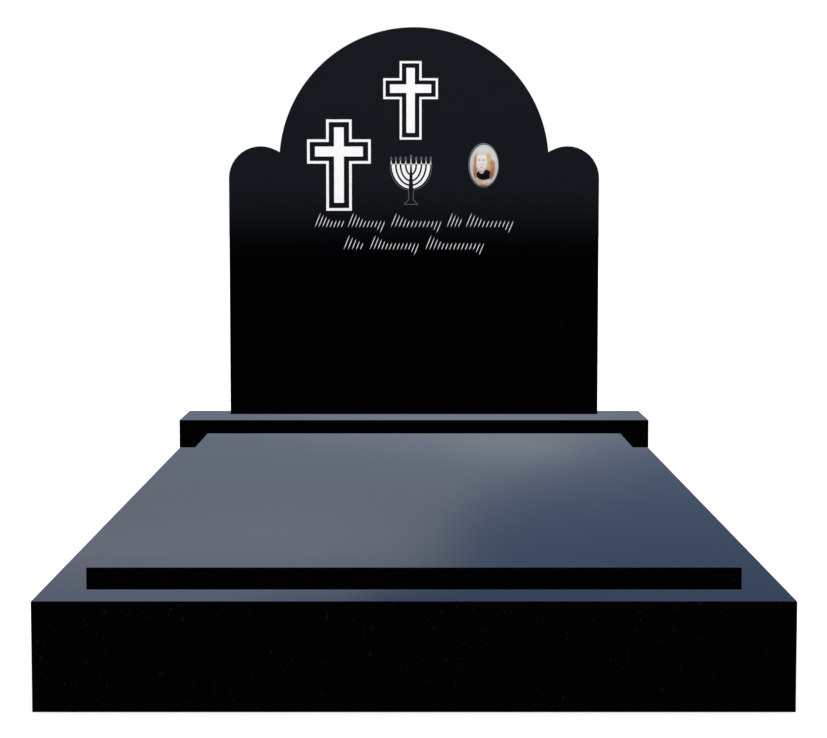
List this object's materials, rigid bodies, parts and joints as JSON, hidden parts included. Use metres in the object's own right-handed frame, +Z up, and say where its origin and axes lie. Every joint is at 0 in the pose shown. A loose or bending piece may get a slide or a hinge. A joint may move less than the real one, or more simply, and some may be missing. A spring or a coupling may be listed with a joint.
{
  "type": "headstone with plinth, ledger and kerb",
  "caption": "Grave monument of polished black granite: round-arched headstone on a low plinth, with a cover slab lying on a hollow kerb.",
  "frame": {"origin": "on the ground, under the middle of the kerb's length and width", "axes": "+Z up, -Y towards the foot of the grave (the front, which the headstone's carved face looks to), +X to the right of someone facing the headstone"},
  "size_m": [1, 1.9, 1.0453],
  "materials": {
    "black_granite": "polished",
    "plaque_ceramic": "gloss",
    "inlay_paint": "satin"
  },
  "bodies": {
    "root": {"headstone": "black_granite", "plinth": "black_granite", "ledger": "black_granite", "kerb": "black_granite", "portrait_plaque": "plaque_ceramic"}
  },
  "joints": []
}
